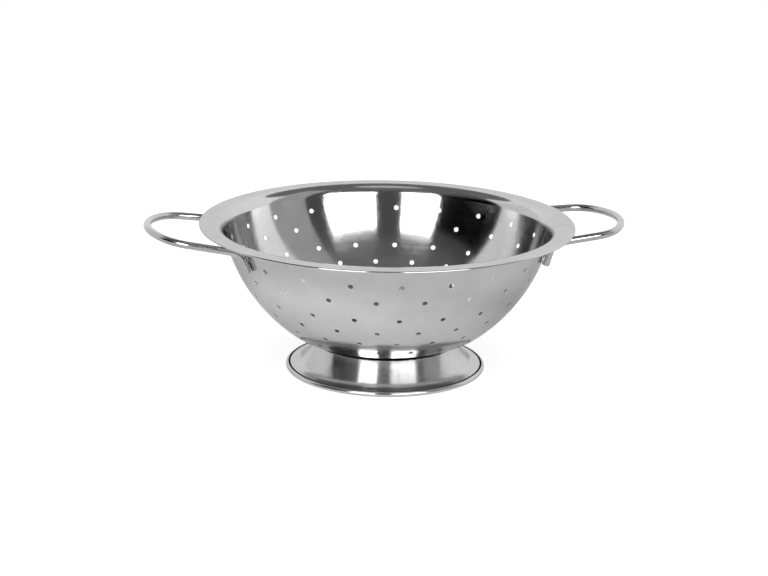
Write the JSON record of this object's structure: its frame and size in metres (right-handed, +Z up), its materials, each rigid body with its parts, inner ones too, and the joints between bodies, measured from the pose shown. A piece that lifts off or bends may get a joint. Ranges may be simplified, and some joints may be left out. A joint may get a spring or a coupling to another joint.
{
  "type": "footed colander",
  "caption": "Round polished steel colander: perforated bowl with a flat rim, flared foot ring and looped wire handles, for rinsing and draining food.",
  "frame": {"origin": "on the table under the middle of the bowl, at the bottom of the foot ring", "axes": "+Z up along the bowl's axis, +X towards the right handle, the handles lie along X"},
  "size_m": [0.3098, 0.24, 0.0998],
  "materials": {
    "bowl_steel": "mirror polished outside, fine turned lines inside",
    "foot_steel": "mirror polished with fine turned lines",
    "wire_steel": "drawn and polished wire",
    "weld_steel": "dull spot weld"
  },
  "bodies": {
    "root": {"bowl": "bowl_steel", "foot_ring": "foot_steel", "left_handle": "wire_steel", "right_handle": "wire_steel", "left_handle_welds": "weld_steel", "right_handle_welds": "weld_steel", "foot_welds": "weld_steel"}
  },
  "joints": []
}
